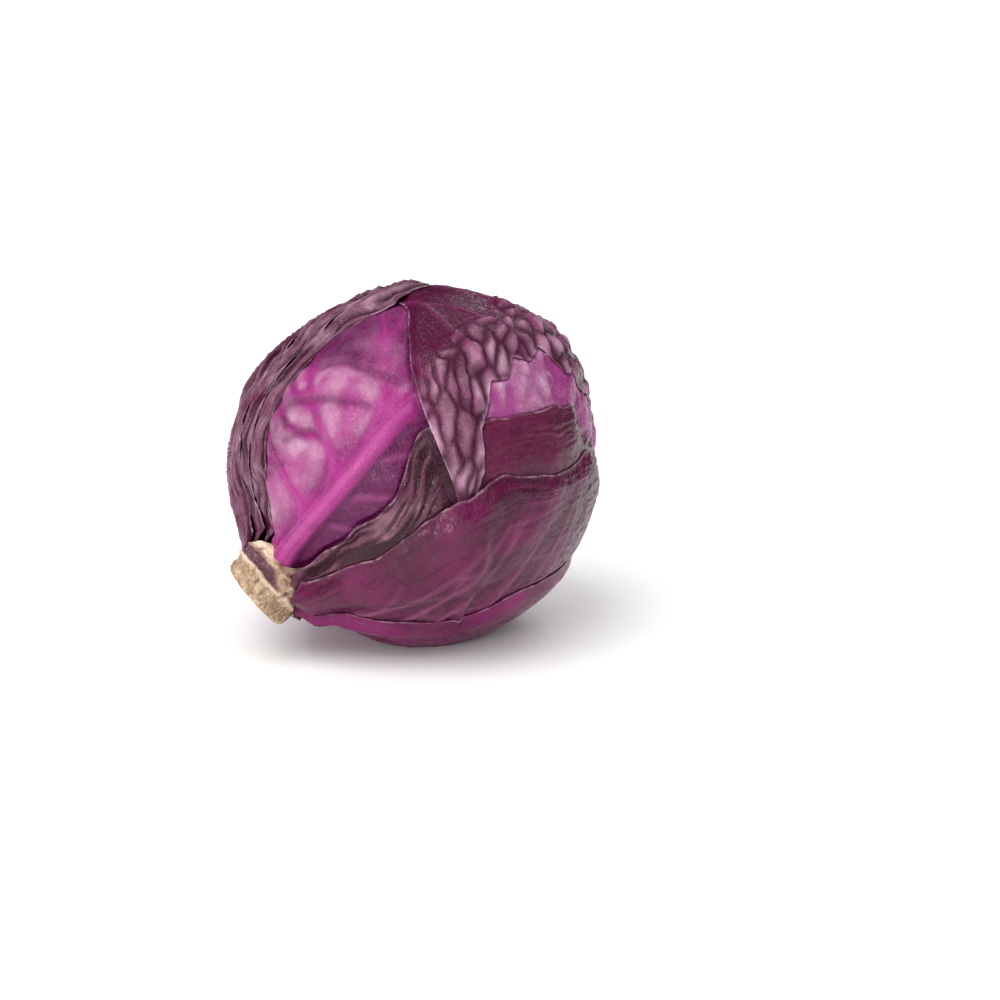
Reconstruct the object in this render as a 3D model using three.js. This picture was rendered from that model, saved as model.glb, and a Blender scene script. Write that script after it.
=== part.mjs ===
// A red cabbage head lying on its side: a closed inner head, the wrapper leaves that lie over each other
// round it, and the cut stem with the stumps of trimmed leaves. Units are millimetres and degrees, +Z is up,
// -Y is the front, and the origin is on the flat spot that the head rests on, right under its centre.
import * as THREE from "three";
import { mergeVertices } from "three/addons/utils/BufferGeometryUtils.js";

// Driving dimensions of the head.
const HEART_RADIUS = 65.8; // mean radius of the closed inner head
const CROWN_STRETCH = 0.045; // how much longer the head is at its crown, and shorter at its stem
const DIMPLE_DEPTH = 9; // hollow round the stem
const DIMPLE_SPREAD = 26; // degrees from the stem at which the hollow has mostly gone
const REST_PLANE = 69.3; // from the centre of the head down to what it rests on
const REST_BLEND = 1; // softness of the line where the flat spot starts
const UNDERSIDE = -0.7; // directions that point down more than this can be part of the underside
const HEART_SEGMENTS = [32, 19]; // faces of the inner head, round it and from pole to pole
const STEM_PITCH = 31.1; // the stem points down by this much
const STEM_YAW = 32.4; // and this far to the front of straight left

// Wrapper leaves.
const LAMINA = 1.1; // thickness of the leaf blade
const LEAF_GAP = 1.3; // clearance between one leaf and the next
const RIB_FADE = 70; // degrees along the leaf over which its rib thins away
const RIB_HALF_WIDTH = 7; // degrees, at the base
const OVER_EDGE_FLAT = 4; // a leaf stays raised this far past the edge of the one below it
const OVER_EDGE_RAMP = 24; // and has come down again by here
const ROWS = 15;
const COLUMNS = 14;
const COLUMN_CROWDING = 1.15; // over 1, the columns crowd towards the midrib
const BLADE_ROUGHNESS = 0.42;

// Cut stem. Its heights are distances from the centre of the head, along the stem.
const STEM_RADIUS = 16.4;
const STEM_FLATNESS = 0.1; // the stem is this much thinner one way than the other
const STEM_PROFILE = [
  { height: 58, share: 0.74 },
  { height: 68, share: 0.76 },
  { height: 72, share: 0.84 },
  { height: 75, share: 0.96 },
  { height: 79, share: 1 },
  { height: 83, share: 1.02 },
  { height: 86, share: 0.97 },
];
const STEM_SIDES = 36;
const CUT_SLANT = 19; // degrees between the knife's cut and square to the stem
const CUT_LOW_SIDE = 193; // azimuth at which the cut comes nearest to the head
const SLANT_START = 74; // the stem's skin is straight below this height

// Stumps of leaves trimmed off the stem: where each is, how wide in degrees and how far it stands out.
const stumps = [
  { azimuth: 76, half: 44, height: 73.5, rise: 5.5, out: 4.6 },
  { azimuth: -18, half: 40, height: 74.5, rise: 4, out: 2.4 },
  { azimuth: -116, half: 46, height: 73.5, rise: 4, out: 2.8 },
  { azimuth: 176, half: 46, height: 72.5, rise: 4, out: 2.6 },
];

const DEGREE = Math.PI / 180;

// The stem's direction from the centre of the head, and two directions square to it. Azimuth 0 about the stem
// is the side that faces the front, -Y, and azimuth 90 is up and to the left.
const stemAxis = new THREE.Vector3(
  -Math.cos(STEM_PITCH * DEGREE) * Math.cos(STEM_YAW * DEGREE),
  -Math.cos(STEM_PITCH * DEGREE) * Math.sin(STEM_YAW * DEGREE),
  -Math.sin(STEM_PITCH * DEGREE),
);
const frontAxis = new THREE.Vector3(0, -1, 0)
  .addScaledVector(stemAxis, stemAxis.y)
  .normalize();
const sideAxis = new THREE.Vector3().crossVectors(stemAxis, frontAxis);

// The wrapper leaves, innermost first. centre is [angle from the stem, azimuth] and turn is how far the midrib
// leans to the left of straight away from the stem. The outline is in degrees of arc on the head: along the
// midrib from base to tip, and from the midrib out to the left and right margins at even steps from base to
// tip. bow is how far the tip's corners lag behind its middle.
const leaves = [
  {
    name: "leaf_crown_back",
    centre: [98, 170],
    turn: 0,
    base: -82,
    tip: 66,
    left: [9, 34, 56, 66, 62, 40],
    right: [9, 34, 56, 66, 62, 40],
    bow: 22,
    rib: 2.0,
    colour: 0x8d5a88,
  },
  {
    name: "leaf_front",
    centre: [66, 17],
    turn: 12,
    base: -53,
    tip: 76,
    left: [11, 58, 68, 68, 64, 44],
    right: [10, 34, 46, 48, 44, 30],
    bow: 12,
    rib: 3.6,
    colour: 0xb0428c,
  },
  {
    name: "leaf_crown_front",
    centre: [98, -42],
    turn: 0,
    base: -82,
    tip: 70,
    left: [8, 26, 42, 60, 64, 46],
    right: [8, 30, 50, 62, 60, 42],
    bow: 18,
    rib: 2.0,
    colour: 0x9a5f93,
  },
  {
    name: "leaf_back_low",
    centre: [88, -160],
    turn: 0,
    base: -72,
    tip: 68,
    left: [9, 32, 52, 62, 58, 38],
    right: [9, 32, 52, 62, 58, 38],
    bow: 20,
    rib: 2.2,
    colour: 0x7a4470,
  },
  {
    name: "leaf_front_low",
    centre: [70, -42],
    turn: 0,
    base: -56,
    tip: 66,
    left: [12, 31, 49, 57, 46, 28],
    right: [10, 34, 52, 58, 52, 34],
    bow: 14,
    rib: 2.4,
    colour: 0x6b4658,
  },
  {
    name: "leaf_top_blistered",
    centre: [126, 66],
    turn: -66,
    base: -88,
    tip: 40,
    left: [12, 30, 40, 46, 48, 46, 42],
    right: [12, 22, 20, 12, 12, 48, 62],
    bow: -19,
    rib: 1.4,
    colour: 0x7b4f6c,
  },
  {
    name: "leaf_under_front",
    centre: [70, -70],
    turn: 0,
    base: -55,
    tip: 66,
    left: [20, 46, 60, 62, 50, 32],
    right: [10, 32, 48, 54, 48, 32],
    bow: 14,
    rib: 2.6,
    colour: 0x5c2440,
  },
  {
    name: "leaf_left_inner",
    centre: [74, 122],
    turn: 0,
    base: -59,
    tip: 64,
    left: [9, 30, 46, 54, 50, 34],
    right: [9, 26, 38, 46, 53, 42],
    bow: 14,
    rib: 2.2,
    colour: 0x80576d,
  },
  {
    name: "leaf_left_middle",
    centre: [72, 138],
    turn: 0,
    base: -57,
    tip: 60,
    left: [9, 30, 46, 52, 48, 32],
    right: [9, 30, 46, 54, 56, 36],
    bow: 14,
    rib: 2.2,
    colour: 0x7c566a,
  },
  {
    name: "leaf_left_outer",
    centre: [70, 152],
    turn: 0,
    base: -55,
    tip: 60,
    left: [9, 32, 50, 58, 52, 34],
    right: [11, 33, 50, 57, 52, 32],
    bow: 16,
    rib: 2.6,
    colour: 0x7a5566,
  },
  {
    name: "leaf_underside",
    centre: [66, -128],
    turn: 0,
    base: -51,
    tip: 60,
    left: [34, 54, 69, 72, 62, 38],
    right: [10, 32, 48, 54, 48, 30],
    bow: 14,
    rib: 3.0,
    colour: 0x7d2268,
  },
];

const clamp01 = (x) => Math.min(1, Math.max(0, x));
const smoothStep = (x) => clamp01(x) ** 2 * (3 - 2 * clamp01(x));

function direction(fromStem, azimuth) {
  const around = frontAxis
    .clone()
    .multiplyScalar(Math.cos(azimuth * DEGREE))
    .addScaledVector(sideAxis, Math.sin(azimuth * DEGREE));
  return stemAxis
    .clone()
    .multiplyScalar(Math.cos(fromStem * DEGREE))
    .addScaledVector(around, Math.sin(fromStem * DEGREE));
}

// Each leaf's own directions: out through its centre, along its midrib and across it to the left.
for (const leaf of leaves) {
  const [fromStem, azimuth] = leaf.centre;
  leaf.out = direction(fromStem, azimuth);
  leaf.along = direction(fromStem + 90, azimuth).applyAxisAngle(leaf.out, leaf.turn * DEGREE);
  leaf.across = new THREE.Vector3().crossVectors(leaf.out, leaf.along);
  leaf.length = leaf.tip - leaf.base;
  leaf.leftEdge = new THREE.SplineCurve(leaf.left.map((w, i) => new THREE.Vector2(i, w)));
  leaf.rightEdge = new THREE.SplineCurve(leaf.right.map((w, i) => new THREE.Vector2(i, w)));
  leaf.bowing = leaf.bow / Math.max(...leaf.left, ...leaf.right) ** 2;
}

// Half the leaf's width, in degrees, at a share of its length and on the side that x says.
function halfWidth(leaf, share, x) {
  return (x < 0 ? leaf.rightEdge : leaf.leftEdge).getPoint(clamp01(share)).y;
}

// A point of the flat leaf laid on the head, so that distances from the leaf's centre stay true.
function laid(leaf, x, y) {
  const far = Math.hypot(x, y);
  if (far < 1e-6) return leaf.out.clone();
  return leaf.out
    .clone()
    .multiplyScalar(Math.cos(far * DEGREE))
    .addScaledVector(leaf.across, (Math.sin(far * DEGREE) * x) / far)
    .addScaledVector(leaf.along, (Math.sin(far * DEGREE) * y) / far)
    .normalize();
}

// The same the other way round: where a direction falls on the flat leaf, as its share of the length, the
// distance across, and how far it lies outside the outline, all in degrees.
function placeOn(leaf, dir) {
  const far = Math.acos(THREE.MathUtils.clamp(dir.dot(leaf.out), -1, 1)) / DEGREE;
  const sideways = Math.atan2(dir.dot(leaf.across), dir.dot(leaf.along));
  const x = far * Math.sin(sideways);
  const y = far * Math.cos(sideways);
  const bend = leaf.bowing * x * x;
  const rise = y - leaf.base;
  const root = Math.sqrt(Math.max(0, leaf.length ** 2 - 4 * bend * rise));
  const share = (2 * rise) / (leaf.length + root);
  const pastEdge = Math.abs(x) - halfWidth(leaf, share, x);
  const pastEnd = Math.max(-share, share - 1) * leaf.length;
  return { x, share, outside: Math.max(pastEdge, pastEnd) };
}

// Thickness of a leaf where x and share say: the blade, and the rib that thins from the base.
function thickness(leaf, x, share, spread = 1) {
  const fade = clamp01(1 - (share * leaf.length) / RIB_FADE);
  const across = smoothStep(1.5 - Math.abs(x) / (RIB_HALF_WIDTH * spread));
  return LAMINA + leaf.rib * fade * across;
}

// Height of the inner face of leaf number order above the inner head: the leaves under it, which it still
// clears a little past their edges, and the gaps between them.
function stackUnder(order, dir) {
  let height = LEAF_GAP;
  for (const below of leaves.slice(0, order)) {
    const place = placeOn(below, dir);
    const past = (place.outside - OVER_EDGE_FLAT) / (OVER_EDGE_RAMP - OVER_EDGE_FLAT);
    height += (thickness(below, place.x, clamp01(place.share), 2) + LEAF_GAP) * smoothStep(1 - past);
  }
  return height;
}

// Radius of the closed inner head in a direction: long at the crown, hollow round the stem, and pressed in
// underneath, so that the outermost leaf lies flat on what the head rests on.
function heartRadius(dir) {
  const fromStem = dir.angleTo(stemAxis) / DEGREE;
  const round =
    HEART_RADIUS * (1 - CROWN_STRETCH * Math.cos(fromStem * DEGREE)) -
    DIMPLE_DEPTH * Math.exp(-((fromStem / DIMPLE_SPREAD) ** 2));
  if (dir.z > UNDERSIDE) return round;
  const outermost = leaves.length - 1;
  const place = placeOn(leaves[outermost], dir);
  const layers = stackUnder(outermost, dir) + thickness(leaves[outermost], place.x, place.share);
  const flat = REST_PLANE / -dir.z - layers;
  const mix = clamp01(0.5 + (0.5 * (round - flat)) / REST_BLEND);
  return round + (flat - round) * mix - REST_BLEND * mix * (1 - mix);
}

// A closed sheet between two grids of points, with a wall round its edge.
function sheetGeometry(innerFace, outerFace) {
  const positions = [...outerFace, ...innerFace].flatMap((p) => [p.x, p.y, p.z]);
  const inner = outerFace.length;
  const at = (row, column) => row * (COLUMNS + 1) + column;
  const index = [];
  const quad = (a, b, c, d) => index.push(a, b, c, a, c, d);
  for (let r = 0; r < ROWS; r++)
    for (let c = 0; c < COLUMNS; c++) {
      const corners = [at(r, c), at(r + 1, c), at(r + 1, c + 1), at(r, c + 1)];
      quad(...corners);
      quad(...corners.map((i) => i + inner).reverse());
    }
  const wall = (a, b) => quad(a, b, b + inner, a + inner);
  for (let c = 0; c < COLUMNS; c++) {
    wall(at(0, c), at(0, c + 1));
    wall(at(ROWS, c + 1), at(ROWS, c));
  }
  for (let r = 0; r < ROWS; r++) {
    wall(at(r + 1, 0), at(r, 0));
    wall(at(r, COLUMNS), at(r + 1, COLUMNS));
  }
  const geometry = new THREE.BufferGeometry();
  geometry.setAttribute("position", new THREE.Float32BufferAttribute(positions, 3));
  geometry.setIndex(index);
  geometry.computeVertexNormals();
  return geometry;
}

function leafFaces(order) {
  const leaf = leaves[order];
  const faces = { inner: [], outer: [] };
  for (let r = 0; r <= ROWS; r++)
    for (let c = 0; c <= COLUMNS; c++) {
      const share = r / ROWS;
      const even = (2 * c) / COLUMNS - 1;
      const side = Math.sign(even) * Math.abs(even) ** COLUMN_CROWDING;
      const x = side * halfWidth(leaf, share, side);
      const y = leaf.base + share * leaf.length - leaf.bowing * share ** 2 * x * x;
      const dir = laid(leaf, x, y);
      const radius = heartRadius(dir) + stackUnder(order, dir);
      faces.inner.push(dir.clone().multiplyScalar(radius));
      faces.outer.push(dir.clone().multiplyScalar(radius + thickness(leaf, x, share)));
    }
  return faces;
}

function heartGeometry() {
  const ball = new THREE.SphereGeometry(1, ...HEART_SEGMENTS);
  ball.deleteAttribute("normal");
  ball.deleteAttribute("uv");
  const heart = mergeVertices(ball);
  const points = heart.getAttribute("position");
  const dir = new THREE.Vector3();
  for (let i = 0; i < points.count; i++) {
    dir.fromBufferAttribute(points, i).normalize();
    dir.multiplyScalar(heartRadius(dir));
    points.setXYZ(i, dir.x, dir.y, dir.z);
  }
  heart.computeVertexNormals();
  return heart;
}

// How far the stem's skin is from its middle line, with the stumps standing out of it.
function stemRadius(share, height, azimuth) {
  const oval = 1 - STEM_FLATNESS * Math.sin((azimuth - CUT_LOW_SIDE) * DEGREE) ** 2;
  let radius = STEM_RADIUS * share * oval;
  for (const stump of stumps) {
    const turn = Math.abs(((((azimuth - stump.azimuth) % 360) + 540) % 360) - 180);
    const around = smoothStep(1.3 - (1.3 * turn) / stump.half);
    const along = smoothStep(1.4 - Math.abs(height - stump.height) / stump.rise);
    radius += stump.out * around * along;
  }
  return radius;
}

// The stub in the stem's own directions: rings of points from its root in the head to the slanting cut.
function stemGeometry() {
  const slope = Math.tan(CUT_SLANT * DEGREE);
  const end = STEM_PROFILE[STEM_PROFILE.length - 1];
  const points = [];
  const place = (across, azimuth, height) => {
    const lean = smoothStep((height - SLANT_START) / (end.height - SLANT_START));
    const x = across * Math.cos(azimuth * DEGREE);
    const y = across * Math.sin(azimuth * DEGREE);
    const uphill = -across * Math.cos((azimuth - CUT_LOW_SIDE) * DEGREE);
    points.push(
      frontAxis
        .clone()
        .multiplyScalar(x)
        .addScaledVector(sideAxis, y)
        .addScaledVector(stemAxis, height + uphill * slope * lean),
    );
  };
  for (const { height, share } of STEM_PROFILE)
    for (let i = 0; i < STEM_SIDES; i++) {
      const azimuth = (360 * i) / STEM_SIDES;
      place(stemRadius(share, height, azimuth), azimuth, height);
    }
  place(0, 0, STEM_PROFILE[0].height);
  place(0, 0, end.height);
  const index = [];
  const last = STEM_PROFILE.length - 1;
  const bottom = STEM_PROFILE.length * STEM_SIDES;
  for (let i = 0; i < STEM_SIDES; i++) {
    const next = (i + 1) % STEM_SIDES;
    for (let ring = 0; ring < last; ring++) {
      const [a, b] = [ring * STEM_SIDES + i, ring * STEM_SIDES + next];
      index.push(a, b, b + STEM_SIDES, a, b + STEM_SIDES, a + STEM_SIDES);
    }
    index.push(next, i, bottom);
    index.push(last * STEM_SIDES + i, last * STEM_SIDES + next, bottom + 1);
  }
  const geometry = new THREE.BufferGeometry().setFromPoints(points);
  geometry.setIndex(index);
  geometry.computeVertexNormals();
  return geometry;
}

function piece(name, geometry, color, roughness) {
  const mesh = new THREE.Mesh(geometry, new THREE.MeshStandardMaterial({ color, roughness, metalness: 0 }));
  mesh.name = name;
  return mesh;
}

const cabbage = new THREE.Group();
cabbage.position.z = REST_PLANE;
cabbage.add(piece("inner_head", heartGeometry(), 0x8a4f86, BLADE_ROUGHNESS));
leaves.forEach(({ name, colour }, order) => {
  const { inner, outer } = leafFaces(order);
  cabbage.add(piece(name, sheetGeometry(inner, outer), colour, BLADE_ROUGHNESS));
});
cabbage.add(piece("stem_stub", stemGeometry(), 0xcbb18c, 0.8));

export default cabbage;
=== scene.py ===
# %% [markdown]
# # A head of red cabbage
#
# A red cabbage is a ball of thin, stiff leaves, wrapped over each other round a short stem. This lesson builds
# the eleven outer leaves one by one, the closed head inside them, and the cut stem with what is left of the
# leaves that were trimmed off it. Everything is in metres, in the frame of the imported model, so each piece goes
# exactly where its plain stand-in is.

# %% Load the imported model
import math

import bpy
import numpy as np
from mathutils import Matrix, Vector


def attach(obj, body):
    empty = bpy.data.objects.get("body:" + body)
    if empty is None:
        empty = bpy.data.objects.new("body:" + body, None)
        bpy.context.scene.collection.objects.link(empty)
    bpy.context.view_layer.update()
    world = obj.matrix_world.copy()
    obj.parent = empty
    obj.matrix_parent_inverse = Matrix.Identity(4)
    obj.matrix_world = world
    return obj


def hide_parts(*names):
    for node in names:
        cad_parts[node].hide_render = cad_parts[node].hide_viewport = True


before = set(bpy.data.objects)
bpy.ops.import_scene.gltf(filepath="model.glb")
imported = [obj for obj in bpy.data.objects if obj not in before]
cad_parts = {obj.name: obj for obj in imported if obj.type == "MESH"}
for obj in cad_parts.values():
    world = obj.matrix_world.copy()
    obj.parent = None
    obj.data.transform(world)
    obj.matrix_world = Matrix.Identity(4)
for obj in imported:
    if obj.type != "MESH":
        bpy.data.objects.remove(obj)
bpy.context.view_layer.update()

bpy.ops.object.select_all(action="DESELECT")

# %% [markdown]
# ## The ball and its directions
#
# A leaf on a ball is easiest to describe in degrees: how far from the stem, and which way round. We could sculpt
# each leaf by hand, but eleven leaves that lie on each other without touching need exact heights, so each leaf
# starts as a flat grid, and numpy lays the grid on the ball. The stem points down, left and to the front.

# %% Directions on the ball
MM = 0.001
STEM_PITCH, STEM_YAW = 31.1, 32.4  # degrees down, and degrees to the front of straight left
REST_PLANE = 69.3  # millimetres from the middle of the head down to the floor


def unit(v):
    return v / np.linalg.norm(v)


pitch, yaw = math.radians(STEM_PITCH), math.radians(STEM_YAW)
stem_axis = np.array([-math.cos(pitch) * math.cos(yaw), -math.cos(pitch) * math.sin(yaw), -math.sin(pitch)])
front_axis = unit(np.array([0.0, -1.0, 0.0]) + stem_axis * stem_axis[1])
side_axis = np.cross(stem_axis, front_axis)


def direction(from_stem, azimuth):
    """The direction from the head's middle that is so many degrees from the stem, at an azimuth round it."""
    a, b = math.radians(from_stem), math.radians(azimuth)
    around = front_axis * math.cos(b) + side_axis * math.sin(b)
    return stem_axis * math.cos(a) + around * math.sin(a)


def degrees_from(axis, dirs):
    return np.degrees(np.arccos(np.clip(dirs @ axis, -1, 1)))


def azimuth_of(dirs):
    """Radians round the stem, 0 at the front."""
    return np.arctan2(dirs @ side_axis, dirs @ front_axis)


def ease(t):
    t = np.clip(t, 0, 1)
    return t * t * (3 - 2 * t)


def hill(distance, width):
    """A round-topped ridge: 1 on its line, fading to nothing by about twice its width."""
    return np.exp(-((distance / width) ** 2))


# %% [markdown]
# ## The eleven leaves
#
# The table lists the leaves from the innermost to the outermost: the middle of each leaf, how its midrib leans,
# where it begins and ends, and its half widths on both sides at even steps from base to tip, all in degrees.
# They are the same outlines as in the plain model. rib is the midrib's height in millimetres, frill is how ragged
# the margin is, and press says how tightly the margin lies on the leaf below.

# %% Leaf outlines
COMMON = {"slot": "leaf_mauve", "turn": 0, "press": 1}  # holds where a row says nothing else
LEAVES = [
    dict(piece="crown_back_leaf", node="leaf_crown_back", centre=(98, 170), base=-87, tip=66, bow=22, rib=2.0,
         frill=0.8, left=(9, 34, 56, 66, 62, 40), right=(9, 34, 56, 66, 62, 40)),
    dict(piece="bright_front_leaf", node="leaf_front", slot="leaf_bright", centre=(66, 17), turn=12, base=-56,
         tip=76, bow=12, rib=3.6, frill=0.5, left=(28, 58, 68, 68, 64, 44), right=(4, 30, 46, 48, 44, 30)),
    dict(piece="pale_crown_leaf", node="leaf_crown_front", slot="leaf_inner", centre=(98, -42), base=-87, tip=70,
         bow=18, rib=2.0, frill=0.6, left=(8, 26, 42, 60, 64, 46), right=(8, 30, 50, 62, 60, 42)),
    dict(piece="back_low_leaf", node="leaf_back_low", centre=(88, -160), base=-77, tip=68, bow=20, rib=2.2,
         frill=0.9, left=(9, 32, 52, 62, 58, 38), right=(9, 32, 52, 62, 58, 38)),
    dict(piece="frilled_leaf", node="leaf_front_low", slot="leaf_dark", centre=(70, -42), base=-60, tip=66, bow=14,
         rib=2.4, frill=0.7, press=0.75, left=(12, 22.5, 30.5, 36.5, 46, 57, 57, 52, 46, 37, 28),
         right=(18, 34, 52, 58, 52, 34)),
    dict(piece="blistered_leaf", node="leaf_top_blistered", centre=(126, 66), turn=-66, base=-88, tip=40, bow=-19,
         rib=1.4, frill=0.35, left=(12, 30, 40, 46, 48, 46, 42), right=(12, 22, 20, 12, 12, 48, 62)),
    dict(piece="dark_under_leaf", node="leaf_under_front", slot="leaf_dark", centre=(70, -70), base=-60, tip=66,
         bow=14, rib=2.6, frill=0.6, left=(18, 33, 42.5, 50.5, 58, 61, 62, 58, 50, 41, 32),
         right=(18, 32, 48, 54, 48, 32)),
    dict(piece="left_inner_leaf", node="leaf_left_inner", centre=(74, 122), base=-64, tip=64, bow=14, rib=2.2,
         frill=0.7, left=(18, 30, 46, 54, 50, 34), right=(16, 24, 30, 36, 42, 46.5, 49.5, 52, 54.5, 55, 48)),
    dict(piece="left_middle_leaf", node="leaf_left_middle", centre=(72, 138), base=-62, tip=60, bow=14, rib=2.2,
         frill=0.9, press=0.95, left=(18, 30, 46, 52, 48, 32), right=(18, 32, 47, 54, 56, 36)),
    dict(piece="left_outer_leaf", node="leaf_left_outer", centre=(70, 152), base=-60, tip=60, bow=16, rib=2.6,
         frill=1.0, press=0.95, left=(18, 32, 50, 58, 52, 34), right=(18, 34, 50, 57, 52, 32)),
    dict(piece="underside_leaf", node="leaf_underside", slot="leaf_bright", centre=(66, -128), base=-66, tip=60,
         bow=14, rib=3.0, frill=0.4, left=(9, 34, 49, 57.5, 64, 70, 72, 70, 64, 54, 38),
         right=(4, 28, 46, 54, 48, 30)),
]
for order, leaf in enumerate(LEAVES):
    leaf.update(COMMON | leaf, order=order)
    leaf["length"] = leaf["tip"] - leaf["base"]
    leaf["out"] = direction(*leaf["centre"])
    straight = direction(leaf["centre"][0] + 90, leaf["centre"][1])
    lean = math.radians(leaf["turn"])
    leaf["along"] = straight * math.cos(lean) + np.cross(leaf["out"], straight) * math.sin(lean)
    leaf["across"] = np.cross(leaf["out"], leaf["along"])
    leaf["bowing"] = leaf["bow"] / max(*leaf["left"], *leaf["right"]) ** 2
print(len(LEAVES), "leaves")

# %% [markdown]
# ## From the flat leaf to the ball and back
#
# Laying a leaf keeps distances from its centre true, as on a map of the pole. The way back tells where any
# direction falls on a leaf, and how far outside its outline. We need it because each leaf must know which leaves
# lie under it and over it. The margin's ripples are a few sine waves with fixed starts, so that both ways agree
# on where the edge is.

# %% Lay a leaf, and find a place on it
def through(values, t):
    """A smooth curve through evenly spaced values, at t from 0 to 1."""
    v = np.asarray(values, float)
    n = len(v)
    at = np.clip(t, 0, 1) * (n - 1)
    i = np.minimum(at.astype(int), n - 2)
    w = at - i
    p0, p1 = v[np.maximum(i - 1, 0)], v[i]
    p2, p3 = v[i + 1], v[np.minimum(i + 2, n - 1)]
    v0, v1 = (p2 - p0) / 2, (p3 - p1) / 2
    return (2 * p1 - 2 * p2 + v0 + v1) * w**3 + (-3 * p1 + 3 * p2 - 2 * v0 - v1) * w**2 + v0 * w + p1


RIPPLES = ((19, 1.0, 0.3), (37, 0.6, 1.9), (61, 0.4, 4.1), (103, 0.14, 2.2))  # turns per leaf, share, start


def ripple(leaf, t, side):
    """How far the margin strays from its smooth outline, in degrees, at t along it."""
    total = 0
    for turns, share, start in RIPPLES:
        total = total + share * np.sin(turns * t + start + 2.3 * leaf["order"] + 1.7 * side)
    return leaf["frill"] * total


def half_width(leaf, share, x):
    left = through(leaf["left"], share) + ripple(leaf, share, 0)
    right = through(leaf["right"], share) + ripple(leaf, share, 1)
    return np.where(x < 0, right, left)


def tip_wave(leaf, x):
    """The tip's margin runs in shallow scallops that meet in points where the veins end."""
    if leaf["piece"] != "blistered_leaf":
        return ripple(leaf, x / 50, 2) * 1.2
    scallops = np.abs(np.sin(np.radians((x + 23) * 12.5)))
    corner = 0.62 * np.maximum(0, -x - 30)
    return 3.2 * scallops - 1.8 + ripple(leaf, x / 40, 2) + 6.5 * ease((x - 4) / 12) + corner


def lay(leaf, x, y):
    far = np.hypot(x, y)
    share = np.sin(np.radians(far)) / np.maximum(far, 1e-6)
    dirs = np.outer(np.cos(np.radians(far)), leaf["out"])
    return dirs + np.outer(share * x, leaf["across"]) + np.outer(share * y, leaf["along"])


def place_on(leaf, dirs):
    """Flat x and y, share of the length, and degrees outside the outline, of each direction."""
    far = degrees_from(leaf["out"], dirs)
    sideways = np.arctan2(dirs @ leaf["across"], dirs @ leaf["along"])
    x, y = far * np.sin(sideways), far * np.cos(sideways)
    rise = y - leaf["base"]
    root = np.sqrt(np.maximum(0, leaf["length"] ** 2 - 4 * leaf["bowing"] * x * x * rise))
    share = 2 * rise / (leaf["length"] + root)
    past_edge = np.abs(x) - half_width(leaf, share, x)
    past_end = np.maximum(-share * leaf["length"], (share - 1) * leaf["length"] - tip_wave(leaf, x))
    return x, y, share, np.maximum(past_edge, past_end)


# %% [markdown]
# ## How high each leaf lies
#
# A leaf rests on the leaves below it. Past the edge of a lower leaf it comes down again, quite soon, as a real
# leaf does, and that leaves a soft step that shows which leaf lies under it. The inner head gets the remaining
# shape: a little longer at the crown, hollow round the stem, and pressed flat where the head rests.

# %% Heights over the inner head
LAMINA, LEAF_GAP = 1.1, 1.3  # millimetres: blade, and room between two blades
RIB_FADE, RIB_HALF_WIDTH = 70, 7  # degrees along and across
STEP_FLAT, STEP_RAMP = 2, 15  # degrees past a lower leaf's edge between which the leaf comes down
HEART_RADIUS, CROWN_STRETCH = 65.8, 0.045
DIMPLE_SHALLOW, DIMPLE_DEEP, DIMPLE_SPREAD = 0.5, 9.5, 26
DIMPLE_SIDE = -150  # azimuth at which the hollow round the stem is deepest
COLLAR, COLLAR_SPREAD, COLLAR_SIDE = 7.5, 17, 32  # the leaves climb a little way up the stem at the front
FLAT_SHOULDER, SHOULDER_SPREAD = 7.5, 27  # the head is less full where the left leaves lie over each other
shoulder = unit(np.array([-0.56, 0.215, 0.80]))
CROWN_BULGE, BULGE_SPREAD = 8.5, 42  # millimetres at the crown, and degrees from it
REST_BLEND = 1  # millimetres over which the round side turns into the flat underneath
STEM_CORE = 12  # millimetres from the stem's axis that are certainly inside the stem
COVERED_ROOM, OPEN_ROOM = 0.12, 9.0  # millimetres that a leaf's relief may rise under another leaf, and in the open


def blade(leaf, x, share, spread):
    fade = np.clip(1 - share * leaf["length"] / RIB_FADE, 0, 1)
    return LAMINA + leaf["rib"] * fade * ease(1.5 - np.abs(x) / (RIB_HALF_WIDTH * spread))


def stack_under(order, dirs):
    """Where a leaf's inner face lies over the inner head, and the outer face of what is right under it."""
    height, beneath = np.full(len(dirs), LEAF_GAP), np.zeros(len(dirs))
    for below in LEAVES[:order]:
        x, _, share, outside = place_on(below, dirs)
        beneath = np.maximum(beneath, (height + LAMINA) * ease(1 - (outside - 0.5) / 5))
        lift = ease(1 - (outside - STEP_FLAT) / (STEP_RAMP - STEP_FLAT))
        height = height + (blade(below, x, np.clip(share, 0, 1), 2) + LEAF_GAP) * lift
    return height, beneath


def facing(azimuth, side):
    """1 where the azimuth is that side, given in degrees, and 0 opposite to it."""
    return 0.5 + 0.5 * np.cos(azimuth - math.radians(side))


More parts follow.
